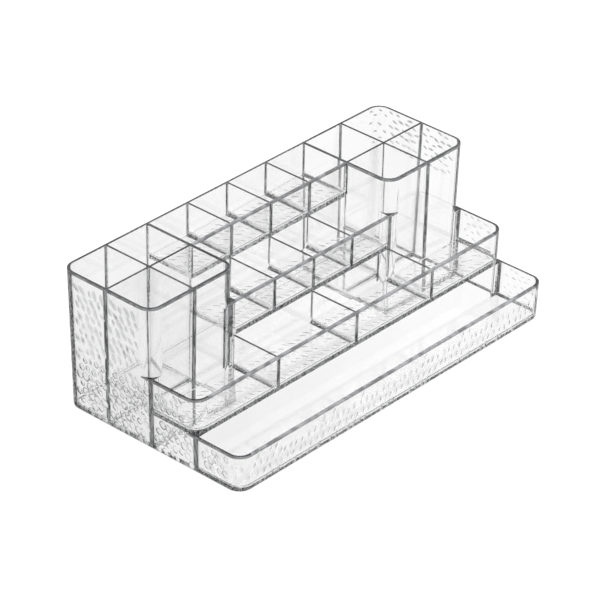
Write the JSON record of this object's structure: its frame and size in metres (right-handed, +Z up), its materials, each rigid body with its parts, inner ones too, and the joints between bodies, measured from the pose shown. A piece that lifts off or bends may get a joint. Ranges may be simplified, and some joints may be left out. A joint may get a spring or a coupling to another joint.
{
  "type": "vanity organizer",
  "caption": "Clear stepped cosmetics organizer with deep square cells in corner towers, rising rows of cells between them and a long open front tray.",
  "frame": {"origin": "centre of the outline, on the surface that the organizer stands on", "axes": "+X along the length, +Y from the front tray towards the tall back, +Z up"},
  "size_m": [0.3332, 0.1676, 0.1123],
  "materials": {
    "clear_polystyrene": "clear, polished, with a hammered rain pattern on the outer faces and row floors"
  },
  "bodies": {
    "root": {"left_tower": "clear_polystyrene", "left_tower_cross": "clear_polystyrene", "right_tower": "clear_polystyrene", "right_tower_cross": "clear_polystyrene", "back_wall": "clear_polystyrene", "first_row_floor": "clear_polystyrene", "first_row_wall": "clear_polystyrene", "first_row_divider_1": "clear_polystyrene", "first_row_divider_2": "clear_polystyrene", "first_row_divider_3": "clear_polystyrene", "second_row_floor": "clear_polystyrene", "second_row_wall": "clear_polystyrene", "second_row_divider_1": "clear_polystyrene", "second_row_divider_2": "clear_polystyrene", "second_row_divider_3": "clear_polystyrene", "third_row_floor": "clear_polystyrene", "third_row_wall": "clear_polystyrene", "third_row_divider_1": "clear_polystyrene", "third_row_divider_2": "clear_polystyrene", "third_row_divider_3": "clear_polystyrene", "front_tray": "clear_polystyrene"}
  },
  "joints": []
}
